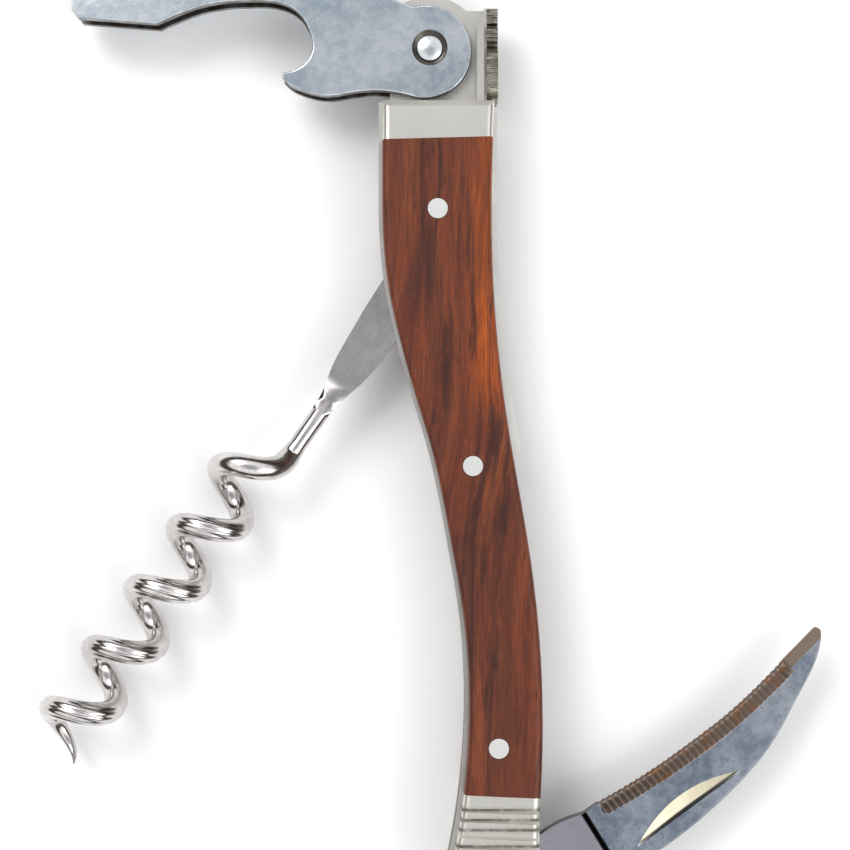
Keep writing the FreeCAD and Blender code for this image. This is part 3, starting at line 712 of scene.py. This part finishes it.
@dataclass(frozen=True)
class BladeSteel(Metal):
    """Blade steel with brown ground teeth, a ground tip, a warm nail nick and a shoulder groove.

    Places are in millimetres along and across the blade, from its pivot.

    Attributes:
        edge_low, edge_bow: lowest place of the cutting edge, and how it bows away from there.
        teeth, tooth_pitch: where the teeth begin and end, and their spacing.
        band, band_rim, band_end: width of the toothed band, its soft rim and its soft ends.
        tip_face, tip_rim, tip_lead: side and slope of the tip's ground face, its rim and its soft start.
        nick, nick_size: start, side and slope of the nick's chord; its length and its bow.
        nick_chord, nick_bow: soft rims of the nick.
        shoulder: a place on the shoulder's line, along and across, and the line's slope.
        tang_end: where the tang's tone fades in, past the shoulder's line.
        wall, groove, bright: where each stripe fades in, and where it fades out.
        side_start: heights where the blade's sides begin and are full.
        grind, rusty: the grinding lines and the brown patches.
    """

    edge_low: Span = (37.0, -0.57)
    edge_bow: float = 0.0058
    teeth: Span = (15.9, 45.6)
    tooth_pitch: float = 0.815
    band: float = 1.75
    band_rim: Span = (-0.05, 0.12)
    band_end: float = 0.2
    tip_face: Span = (-1.3, 0.075)
    tip_rim: Span = (-0.06, 0.06)
    tip_lead: float = 0.3
    nick: Triple = (15.9, -5.4, -0.0875)
    nick_size: Span = (16.4, 2.15)
    nick_chord: Span = (0.0, 0.12)
    nick_bow: Span = (-0.02, 0.10)
    wall: tuple[Span, Span] = ((0.02, 0.16), (0.55, 0.25))
    shoulder: Triple = (13.6, 2.4, 0.1667)
    tang_end: Span = (-0.2, -0.5)
    groove: tuple[Span, Span] = ((-0.5, -0.2), (0.12, -0.02))
    bright: tuple[Span, Span] = ((0.05, 0.15), (0.38, 0.25))
    side_start: Span = (0.94, 0.84)

    grind: Layer = Layer((6.0, 0.5, 6.0), strength=0.5)
    rusty: Layer = Layer(even(0.35), shows=(0.5, 0.66), strength=0.7)
    nick_share: float = 0.85
    wall_share: float = 0.9
    tang_share: float = 0.7
    groove_share: float = 0.85
    bright_share: float = 0.8
    side_share: float = 0.85
    ground_roughness: float = 0.28
    nick_roughness: float = 0.08
    ground_depth: float = 0.02

    ground: Colour = linear(160, 146, 134)
    ground_dark: Colour = linear(88, 74, 64)
    rust: Colour = linear(150, 104, 70)
    warm: Colour = linear(190, 180, 152)
    tang: Colour = linear(190, 186, 190)
    shadow: Colour = linear(44, 38, 32)
    glint: Colour = linear(250, 250, 246)

    def ground_masks(self, along: Value, across: Value) -> tuple[Value, Value]:
        """Where the edge is ground.

        Args:
            along, across: place on the blade.

        Returns:
            The band of teeth, and the band together with the tip, from 0 to 1.
        """
        first, last = self.teeth
        edge = (along - self.edge_low[0]) ** 2.0 * self.edge_bow + self.edge_low[1]
        teeth = (across - edge).rise(*(rim - self.band for rim in self.band_rim))
        teeth = teeth * along.rise(first - self.band_end, first) * along.rise(last + self.band_end, last)
        tip_line = (along - last) * self.tip_face[1] + self.tip_face[0]
        tip = (across - tip_line).rise(*self.tip_rim) * along.rise(last, last + self.tip_lead)
        return teeth, teeth.most(tip)

    def nick_masks(self, along: Value, across: Value) -> tuple[Value, Value]:
        """Where the nail nick is.

        Args:
            along, across: place on the blade.

        Returns:
            The nick and the shaded wall along its chord, from 0 to 1.
        """
        start, side, slope = self.nick
        half = self.nick_size[0] / 2
        bow = (1.0 - ((along - start - half) / half) ** 2.0) * self.nick_size[1]
        past = across - ((along - start) * slope + side)
        inside = past.rise(*self.nick_chord) * (bow - past).rise(*self.nick_bow)
        return inside, past.rise(*self.wall[0]) * past.rise(*self.wall[1]) * inside

    def brown(self, face: Face, teeth: Value, along: Value, lines: Value) -> Socket:
        """Colour of the ground steel, with painted shade striping its scallops.

        Args:
            face: the blade's face.
            teeth: the band of teeth.
            along: place along the blade.
            lines: the grinding lines.

        Returns:
            The colour.
        """
        # painted shade of the ground scallops, one stripe per tooth; the grinding lines are the steel's own
        scallop_shade = ((along - self.teeth[0]) * (2 * math.pi / self.tooth_pitch)).sine() * 0.5 + 0.5
        tone = (scallop_shade * 0.5 * teeth + lines * self.grind.strength).least(1.0)
        return face.metal.layered(
            self.ground, (tone, self.ground_dark), (face.metal.veil(face.place, self.rusty), self.rust))

    def material(self) -> bpy.types.Material:
        """Builds the blade's steel.

        Returns:
            The material.
        """
        face = self.patterns()
        steel = face.metal
        along, across, above = steel.parts(face.place)
        teeth, ground = self.ground_masks(along, across)
        inside, wall = self.nick_masks(along, across)
        lines = steel.noise(face.place, self.grind)
        start, side, slope = self.shoulder
        past = along - ((across - side) * slope + start)
        groove, bright = (past.rise(*enter) * past.rise(*leave)
                          for enter, leave in (self.groove, self.bright))
        sides = abs(above).rise(*self.side_start) * (1.0 - inside) * (1.0 - ground)
        colour = steel.layered(
            face.colour,
            (inside * self.nick_share, self.warm),
            (wall * self.wall_share, self.shadow),
            (past.rise(*self.tang_end) * self.tang_share, self.tang),
            (groove * self.groove_share, self.shadow),
            (bright * self.bright_share, self.glint),
            (ground, self.brown(face, teeth, along, lines)),
            (sides * self.side_share, self.shadow))
        rough = face.rough + self.ground_roughness * ground + self.nick_roughness * inside
        return face.finish(colour, rough, face.height + lines * ground * self.ground_depth)


# ---------------------------------------------------------------- sub-assemblies

def cad(node: str) -> bpy.types.Object:
    """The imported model's object of that name."""
    return frame["nodes"][node]


class Side(Enum):
    """Which face of the tool a paired piece lies on."""

    FRONT = "front"
    REAR = "rear"

    def piece(self, name: str) -> bpy.types.Object:
        """This side's piece of a pair."""
        return cad(f"{self.value}_{name}")


def dress(obj: bpy.types.Object, material: bpy.types.Material) -> None:
    """Gives an object one material.

    Args:
        obj: the piece.
        material: its finish.
    """
    if not obj.material_slots:
        obj.data.materials.append(material)
    for slot in obj.material_slots:
        slot.material = material
    LOG.info("%s wears %s", obj.name, material.name)


def middle(node: str) -> Vector:
    """Centre of a node's box, in metres."""
    low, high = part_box(node)
    return (low + high) / 2


def pivot(joint: str) -> Vector:
    """Where a joint turns, in metres."""
    return Vector(next(j["pos_m"] for j in frame["joints"] if j["name"] == joint))


@dataclass
class Handle:
    """Liners, scales, bolsters and what is between them.

    Attributes:
        pad, bead, groove, repeats: the butt bolsters' pattern along Y, and how often it comes.
        front_grain, rear_grain: turn of the grain in each scale, in degrees.
        rear_shift, rear_sapwood: what makes the rear scale's figure another one.
        across: brushed lines that run across the handle.
    """

    pad: float = 1.65
    bead: float = 0.85
    groove: float = 0.40
    repeats: int = 3
    front_grain: float = -1.5
    rear_grain: float = 3.0
    rear_shift: Vector = field(default_factory=lambda: Vector((0.011, 0.02, 0.07)))
    rear_sapwood: float = 0.5
    across: Triple = (0.5, 9.0, 9.0)

    def pin_places(self) -> tuple[Span, ...]:
        """Where the pins come through the scales, in millimetres."""
        spots = (middle(node) / MM for node in ("worm_pin", "middle_pin", "lower_pin"))
        return tuple((spot.x, spot.y) for spot in spots)

    def groove_places(self) -> tuple[float, ...]:
        """Places along Y of the grooves across the butt bolsters, in millimetres."""
        places = []
        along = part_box("front_butt_bolster")[1].y / MM - self.pad
        for _ in range(self.repeats):
            for step in (self.groove, self.bead, self.groove, self.bead, self.groove, self.pad):
                if step == self.groove:
                    places.append(along - step / 2)
                along -= step
        return tuple(places)

    def scales(self) -> None:
        """Finishes the wooden scales, each with a grain of its own."""
        centre = middle("front_scale")
        pins = self.pin_places()
        front = Rosewood("rosewood_front", centre, math.radians(self.front_grain), pins=pins)
        rear = Rosewood("rosewood_rear", centre + self.rear_shift, math.radians(self.rear_grain),
                        self.rear_sapwood, pins)
        dress(Side.FRONT.piece("scale"), front.material())
        dress(Side.REAR.piece("scale"), rear.material())

    def bolsters(self) -> None:
        """Finishes the neck and butt bolsters."""
        bright = linear(226, 224, 216)
        neck = Metal("nickel_silver_neck", bright, linear(196, 192, 182), roughness=0.22, spread=0.10,
                     brushed=self.across, mottle=0.3, mottle_size=3.0, bump_depth=0.003).material()
        butt = GrimeAndShadeMetal("nickel_silver_butt", bright, linear(190, 184, 170), roughness=0.24, spread=0.10,
                          brushed=self.across, mottle=0.35, mottle_size=2.0, bump_depth=0.003,
                          grooves=self.groove_places(), groove_width=self.groove).material()
        for side in Side:
            dress(side.piece("neck_bolster"), neck)
            dress(side.piece("butt_bolster"), butt)

    def inside(self) -> None:
        """Finishes the liners, the neck block, the spacers and the washers."""
        liner = Metal("liner_steel", linear(205, 203, 198), linear(160, 156, 150), roughness=0.26,
                      spread=0.12, brushed=(9.0, 0.5, 9.0)).material()
        inner = Metal("spacer_steel", linear(150, 148, 145), linear(96, 92, 88), roughness=0.42,
                      spread=0.14, mottle=0.6, scratch=0.4).material()
        for side in Side:
            dress(side.piece("liner"), liner)
            dress(side.piece("side_spacer"), inner)
            dress(side.piece("cutter_washer"), inner)
        dress(cad("head_block"), liner)
        dress(cad("centre_spacer"), inner)

    def fittings(self) -> None:
        """Finishes the thumb tab and the pins."""
        tab = Metal("ribbed_tab_metal", linear(190, 184, 172), linear(84, 76, 66), roughness=0.24,
                    spread=0.12, brushed=(0.6, 3.6, 1.0), mottle=0.5, mottle_size=0.8, scratch=0.7)
        dress(cad("thumb_tab"), tab.material())
        pin = Metal("pin_metal", linear(232, 232, 228), linear(196, 196, 192), roughness=0.34, spread=0.10,
                    brushed=(7.0, 1.2, 7.0), mottle=0.3, mottle_size=0.7, scratch=0.35).material()
        for node in ("middle_pin", "lower_pin", "worm_pin", "worm_pin_sleeve", "cutter_pin", "head_pin"):
            dress(cad(node), pin)

    def dress(self) -> None:
        """Finishes every fixed piece of the handle."""
        self.scales()
        self.bolsters()
        self.inside()
        self.fittings()


@dataclass
class BackSpring:
    """Spring along the handle's back."""

    brushed: Triple = (9.0, 0.6, 2.0)

    def dress(self) -> None:
        """Finishes the spring."""
        steel = Metal("spring_steel", linear(252, 251, 247), linear(214, 212, 206), roughness=0.34,
                      spread=0.10, brushed=self.brushed, mottle=0.3)
        dress(cad("back_spring"), steel.material())


@dataclass
class Lever:
    """Folded sheet lever with its rivet."""

    brushed: Triple = (0.35, 3.0, 3.0)

    def dress(self) -> None:
        """Finishes the lever and the rivet."""
        centre = pivot("lever_hinge")
        sheet = LeverSteel("polished_lever_steel", linear(240, 244, 247), linear(168, 182, 194),
                           roughness=0.10, spread=0.10, brushed=self.brushed, centre=centre, mottle=0.75,
                           mottle_size=1.5, scratch=0.16, bump_depth=0.005, ripple=0.03)
        dress(cad("lever"), sheet.material())
        rivet = Metal("rivet_steel", linear(226, 230, 232), linear(160, 166, 170), roughness=0.16,
                      spread=0.10, brushed=even(2.0), centre=centre, mottle=0.6, mottle_size=0.8)
        dress(cad("lever_rivet"), rivet.material())


@dataclass
class FoilCutter:
    """Serrated blade."""

    rest_angle: float = 41.4
    brushed: Triple = (0.5, 7.0, 7.0)

    def dress(self) -> None:
        """Finishes the blade."""
        steel = BladeSteel("blade_steel", linear(200, 206, 214), linear(132, 142, 158), roughness=0.10,
                           spread=0.10, brushed=self.brushed, turn=math.radians(self.rest_angle),
                           centre=pivot("cutter_hinge"), mottle=0.85, mottle_size=1.3, scratch=0.2,
                           bump_depth=0.004, ripple=0.025)
        dress(cad("cutter_blade"), steel.material())


@dataclass
class Worm:
    """Corkscrew worm: the flat shank of the model with a newly drawn, grooved wire.

    Its own axes are X along the worm from the pivot and Z up, in millimetres.

    Attributes:
        rest_angle: direction of the worm at rest, in degrees about Z.
        axis_offset, helix_radius, pitch, crest: the helix, and a place where a turn is outermost.
        wire_radius, point_radius: the wire's radius, and its radius at the point.
        start, length: where the wire begins to coil, and where it ends.
        taper_start, taper_power: where the point begins, and how it thins.
        root_radius, root_lead, root_rise: the wire's root, before the start, and how long it swells.
        cut: where the model's shank ends.
        stations, sides: rings of the wire, and corners of a ring.
        grooves: depth of the groove at each corner that has one.
        groove_from, groove_fade: where the grooves begin, and the share of a turn they fade in over.
        tangent_step, merge, flatness: small lengths for working out the mesh.
        sharp: angle past which an edge stays sharp, in degrees.
    """

    rest_angle: float = 235.0
    axis_offset: float = -0.95
    helix_radius: float = 3.3
    wire_radius: float = 1.5
    pitch: float = 9.45
    crest: float = 47.3
    start: float = 35.5
    taper_start: float = 80.0
    taper_power: float = 0.8
    length: float = 84.6
    point_radius: float = 0.12
    root_radius: float = 1.14
    root_lead: float = 1.1
    root_rise: float = 3.0
    cut: float = 34.45
    stations: int = 260
    sides: int = 60
    grooves: dict[int, float] = field(default_factory=lambda: {
        -9: 0.06, -8: 0.13, -7: 0.05, -4: 0.05, -3: 0.12, -2: 0.04,
        1: 0.06, 2: 0.14, 3: 0.05, 7: 0.04, 8: 0.10})
    groove_from: float = 44.5
    groove_fade: float = 0.5
    tangent_step: float = 0.01
    merge: float = 0.002
    flatness: float = 0.0001
    sharp: float = 35.0

    def turn(self, along: float) -> float:
        """Angle about the worm's axis.

        Args:
            along: distance from the pivot, in millimetres.

        Returns:
            The angle, in radians.
        """
        rise = 2 * math.pi / self.pitch
        full = 2 * (self.crest - self.pitch) - self.start
        if along <= self.start:
            return -2 * math.pi
        if along < full:
            return -2 * math.pi + rise * (along - self.start) ** 2 / (2 * (full - self.start))
        return rise * (along - self.crest)

    def centre_line(self, along: float) -> Vector:
        """Middle of the wire at a distance from the pivot."""
        turn = self.turn(along)
        return Vector((along, self.axis_offset + self.helix_radius * math.cos(turn),
                       self.helix_radius * math.sin(turn)))

    def radius(self, along: float) -> float:
        """Radius of the wire, swelling smoothly from its root and tapering to its point.

        Args:
            along: distance from the pivot, in millimetres.

        Returns:
            The radius, in millimetres.
        """
        root = self.start - self.root_lead
        if along < root + self.root_rise:
            share = max(0.0, (along - root) / self.root_rise)
            swell = share * share * (3 - 2 * share)
            return self.root_radius + (self.wire_radius - self.root_radius) * swell
        if along > self.taper_start:
            share = (self.length - along) / (self.length - self.taper_start)
            return self.point_radius + (self.wire_radius - self.point_radius) * share ** self.taper_power
        return self.wire_radius

    def station(self, along: float) -> Matrix:
        """Place of the wire's section: outward, across and forward axes, scaled to its radius.

        Args:
            along: distance from the pivot, in millimetres.

        Returns:
            The matrix that takes the unit circle there.
        """
        step = self.tangent_step
        ahead = (self.centre_line(along + step) - self.centre_line(along - step)).normalized()
        turn = self.turn(along)
        across = ahead.cross(Vector((0.0, math.cos(turn), math.sin(turn)))).normalized()
        outward = across.cross(ahead)
        size = self.radius(along)
        axes = Matrix((outward * size, across * size, ahead * size)).transposed().to_4x4()
        return Matrix.Translation(self.centre_line(along)) @ axes

    def groove_share(self, along: float) -> float:
        """How deep the grooves are at a distance from the pivot, from 0 to 1."""
        enter = (along - self.groove_from) / (self.groove_fade * self.pitch)
        leave = (self.length - along) / (self.length - self.taper_start)
        return max(0.0, min(1.0, enter, leave))

    def wire(self, mesh: bmesh.types.BMesh) -> None:
        """Draws the wire through its stations, ring after ring, and presses the grooves in.

        Args:
            mesh: what it is added to, in millimetres about the pivot.
        """
        begin = self.start - self.root_lead
        pace = (self.length - begin) / self.stations
        here = self.station(begin)
        first = bmesh.ops.create_circle(mesh, segments=self.sides, radius=1.0, matrix=here)["verts"]
        ring = list({edge for vert in first for edge in vert.link_edges})
        bmesh.ops.contextual_create(mesh, geom=ring)
        rings = []
        for index in range(1, self.stations + 1):
            along = begin + index * pace
            there = self.station(along)
            grown = bmesh.ops.extrude_edge_only(mesh, edges=ring)["geom"]
            verts = [item for item in grown if isinstance(item, bmesh.types.BMVert)]
            fresh = set(verts)
            ring = [item for item in grown
                    if isinstance(item, bmesh.types.BMEdge) and fresh.issuperset(item.verts)]
            bmesh.ops.transform(mesh, matrix=there @ here.inverted(), verts=verts)
            here = there
            rings.append((along, there, verts))
        bmesh.ops.contextual_create(mesh, geom=ring)
        for along, place, verts in rings:
            self.press(verts, place, self.groove_share(along))

    def press(self, verts: list[bmesh.types.BMVert], place: Matrix, share: float) -> None:
        """Sinks the grooves into one ring of the wire.

        Args:
            verts: the ring.
            place: the ring's station.
            share: how deep the grooves are there, from 0 to 1.
        """
        back = place.inverted()
        step = 2 * math.pi / self.sides
        for vert in verts:
            spot = back @ vert.co
            number = round(math.atan2(spot.y, spot.x) / step)
            depth = self.grooves.get(number, 0.0) * share / self.wire_radius
            vert.co = place @ (spot * (1 - depth))

    def shank(self) -> bmesh.types.BMesh:
        """Copies the model's worm and keeps its eye, leaf and neck.

        Returns:
            The mesh in millimetres about the pivot, the wire cut away.
        """
        mesh = bmesh.new()
        mesh.from_mesh(cad("worm").data)
        bmesh.ops.remove_doubles(mesh, verts=mesh.verts, dist=self.merge * MM)
        bmesh.ops.transform(mesh, matrix=self.to_frame().inverted(), verts=mesh.verts)
        everything = list(mesh.verts) + list(mesh.edges) + list(mesh.faces)
        bmesh.ops.bisect_plane(mesh, geom=everything, dist=self.flatness, plane_co=(self.cut, 0, 0),
                               plane_no=(1, 0, 0), clear_outer=True)
        open_edges = [edge for edge in mesh.edges if len(edge.link_faces) == 1]
        bmesh.ops.contextual_create(mesh, geom=open_edges)
        return mesh

    def to_frame(self) -> Matrix:
        """Matrix from millimetres about the pivot to the model's frame."""
        turn = Matrix.Rotation(math.radians(self.rest_angle), 4, "Z")
        return Matrix.Translation(pivot("worm_hinge")) @ turn @ Matrix.Scale(MM, 4)

    def build(self) -> None:
        """Makes the worm, lets it stand for the model's and finishes it."""
        mesh = self.shank()
        self.wire(mesh)
        bmesh.ops.transform(mesh, matrix=self.to_frame(), verts=mesh.verts)
        bmesh.ops.recalc_face_normals(mesh, faces=mesh.faces)
        data = bpy.data.meshes.new("worm_bright")
        mesh.to_mesh(data)
        mesh.free()
        data.shade_smooth()
        data.set_sharp_from_angle(angle=math.radians(self.sharp))
        piece = bpy.data.objects.new("worm_bright", data)
        bpy.context.scene.collection.objects.link(piece)
        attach(piece, "worm")
        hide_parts("worm")
        chrome = Metal("worm_chrome_plate", linear(226, 222, 220), linear(140, 134, 134), roughness=0.08,
                       spread=0.08, brushed=(0.6, 6.0, 6.0), turn=math.radians(self.rest_angle),
                       centre=pivot("worm_hinge"), mottle=0.35, mottle_size=1.6, scratch=0.2,
                       bump_depth=0.006)
        dress(piece, chrome.material())
        piece.modifiers.new("even_normals", "WEIGHTED_NORMAL").keep_sharp = True


# ---------------------------------------------------------------- studio

@dataclass(frozen=True)
class Lamp:
    """Square soft light: where it hangs and its side, in metres, and its power, in watts."""

    name: str
    place: Triple
    side: float
    power: float

    def hang(self) -> None:
        """Hangs the light so that it faces the object."""
        data = bpy.data.lights.new(self.name, "AREA")
        data.shape = "SQUARE"
        data.size = self.side
        data.energy = self.power
        obj = bpy.data.objects.new(self.name, data)
        obj.location = self.place
        obj.rotation_euler = (-Vector(self.place)).to_track_quat("-Z", "Y").to_euler()
        bpy.context.scene.collection.objects.link(obj)


@dataclass
class Studio:
    """Pale floor, soft lights and the camera over the object.

    Attributes:
        view_centre, view_height, view_width: what the camera looks at, from how far, and how much of it.
        sensor, near: the camera's sensor, in millimetres, and the nearest it sees.
        floor_side, floor_gap: the floor's side, in metres, and its gap to the object, in millimetres.
        sky: light of the room, from the horizon at 0 to overhead at 1.
        lamps: the soft lights.
    """

    view_centre: Vector = field(default_factory=lambda: Vector((-0.006, 0.005125, 0.0)))
    view_height: float = 0.25
    view_width: float = 0.1088
    sensor: float = 36.0
    near: float = 0.01
    floor_side: float = 4.0
    floor_gap: float = 0.05
    floor_colour: Colour = (0.93, 0.93, 0.93, 1.0)
    floor_roughness: float = 0.9
    sky_strength: float = 1.1
    sky: tuple[tuple[float, Colour], ...] = (
        (0.00, (0.06, 0.05, 0.045, 1.0)), (0.10, (0.03, 0.025, 0.022, 1.0)),
        (0.42, (0.04, 0.035, 0.032, 1.0)), (0.54, (1.05, 1.05, 1.04, 1.0)),
        (0.88, (1.05, 1.05, 1.06, 1.0)), (0.955, (0.50, 0.515, 0.54, 1.0)),
        (0.985, (0.40, 0.415, 0.44, 1.0)))
    lamps: tuple[Lamp, ...] = (Lamp("key", (-0.45, 0.55, 0.75), 0.5, 4.6),
                               Lamp("fill", (0.6, -0.35, 0.6), 0.6, 2.4))

    def camera(self) -> None:
        """Looks straight down on the object."""
        data = bpy.data.cameras.new("camera")
        data.sensor_width = self.sensor
        data.lens = self.sensor * self.view_height / self.view_width
        data.clip_start = self.near
        obj = bpy.data.objects.new("camera", data)
        mid_plane = (CAD_BOX[0].z + CAD_BOX[1].z) / 2
        obj.location = self.view_centre + Vector((0, 0, mid_plane + self.view_height))
        bpy.context.scene.collection.objects.link(obj)
        bpy.context.scene.camera = obj

    def floor(self) -> None:
        """Lays the pale floor just under the object."""
        mesh = bmesh.new()
        bmesh.ops.create_grid(mesh, x_segments=4, y_segments=4, size=self.floor_side / 2)
        bmesh.ops.translate(mesh, verts=mesh.verts, vec=(0, 0, CAD_BOX[0].z - self.floor_gap * MM))
        data = bpy.data.meshes.new("floor")
        mesh.to_mesh(data)
        mesh.free()
        obj = bpy.data.objects.new("floor", data)
        bpy.context.scene.collection.objects.link(obj)
        paper = Surface("floor_paper")
        paper.dress(self.floor_colour, self.floor_roughness)
        data.materials.append(paper.material)

    def room(self) -> None:
        """Soft room light: grey overhead, bright all round at half height, dark near the floor."""
        world = bpy.data.worlds.new("studio")
        world.use_nodes = True
        bpy.context.scene.world = world
        tree = world.node_tree
        source = tree.nodes.new("ShaderNodeTexCoord")
        split = tree.nodes.new("ShaderNodeSeparateXYZ")
        ramp = tree.nodes.new("ShaderNodeValToRGB")
        Surface.fill_ramp(ramp.color_ramp, self.sky)
        tree.links.new(source.outputs["Generated"], split.inputs[0])
        tree.links.new(split.outputs["Z"], ramp.inputs["Fac"])
        background = next(n for n in tree.nodes if n.type == "BACKGROUND")
        tree.links.new(ramp.outputs["Color"], background.inputs["Color"])
        background.inputs["Strength"].default_value = self.sky_strength

    def build(self) -> None:
        """Sets up the whole studio."""
        self.camera()
        self.floor()
        self.room()
        for lamp in self.lamps:
            lamp.hang()
        bpy.context.scene.view_settings.view_transform = "Standard"


def main() -> None:
    """Builds the studio and the sub-assemblies in order."""
    logging.basicConfig(level=logging.INFO)
    Studio().build()
    Handle().dress()
    BackSpring().dress()
    Lever().dress()
    FoilCutter().dress()
    Worm().build()


if __name__ == "__main__":
    main()
